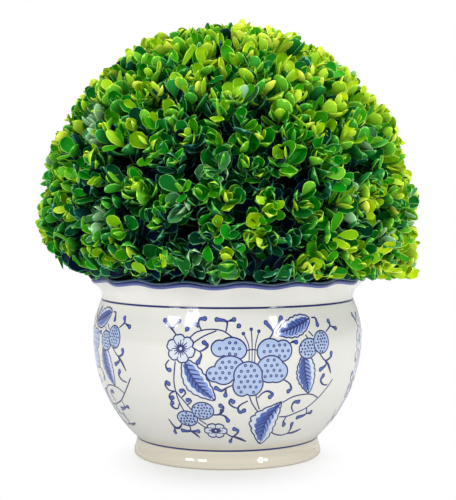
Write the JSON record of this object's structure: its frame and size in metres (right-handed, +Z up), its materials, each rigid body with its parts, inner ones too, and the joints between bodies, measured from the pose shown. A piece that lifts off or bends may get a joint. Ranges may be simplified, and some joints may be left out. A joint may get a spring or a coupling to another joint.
{
  "type": "box topiary ball in a footed bowl",
  "caption": "Clipped ball of box foliage, cut flat underneath, standing on a short stem in a round footed bowl of glazed porcelain with a waved rim.",
  "frame": {"origin": "centre of the bowl's flat underside, on the level it stands on", "axes": "+Z up along the bowl's and the ball's common axis; -Y is the front, with the middle of one painted panel just to its right; +X to the right seen from the front"},
  "size_m": [0.3052, 0.3051, 0.343],
  "materials": {
    "bowl_glaze": "gloss",
    "planting_mix": "matte",
    "box_bark": "matte",
    "box_foliage": "satin"
  },
  "bodies": {
    "root": {"bowl": "bowl_glaze", "planting_fill": "planting_mix", "stem": "box_bark", "foliage_ball": "box_foliage"}
  },
  "joints": []
}
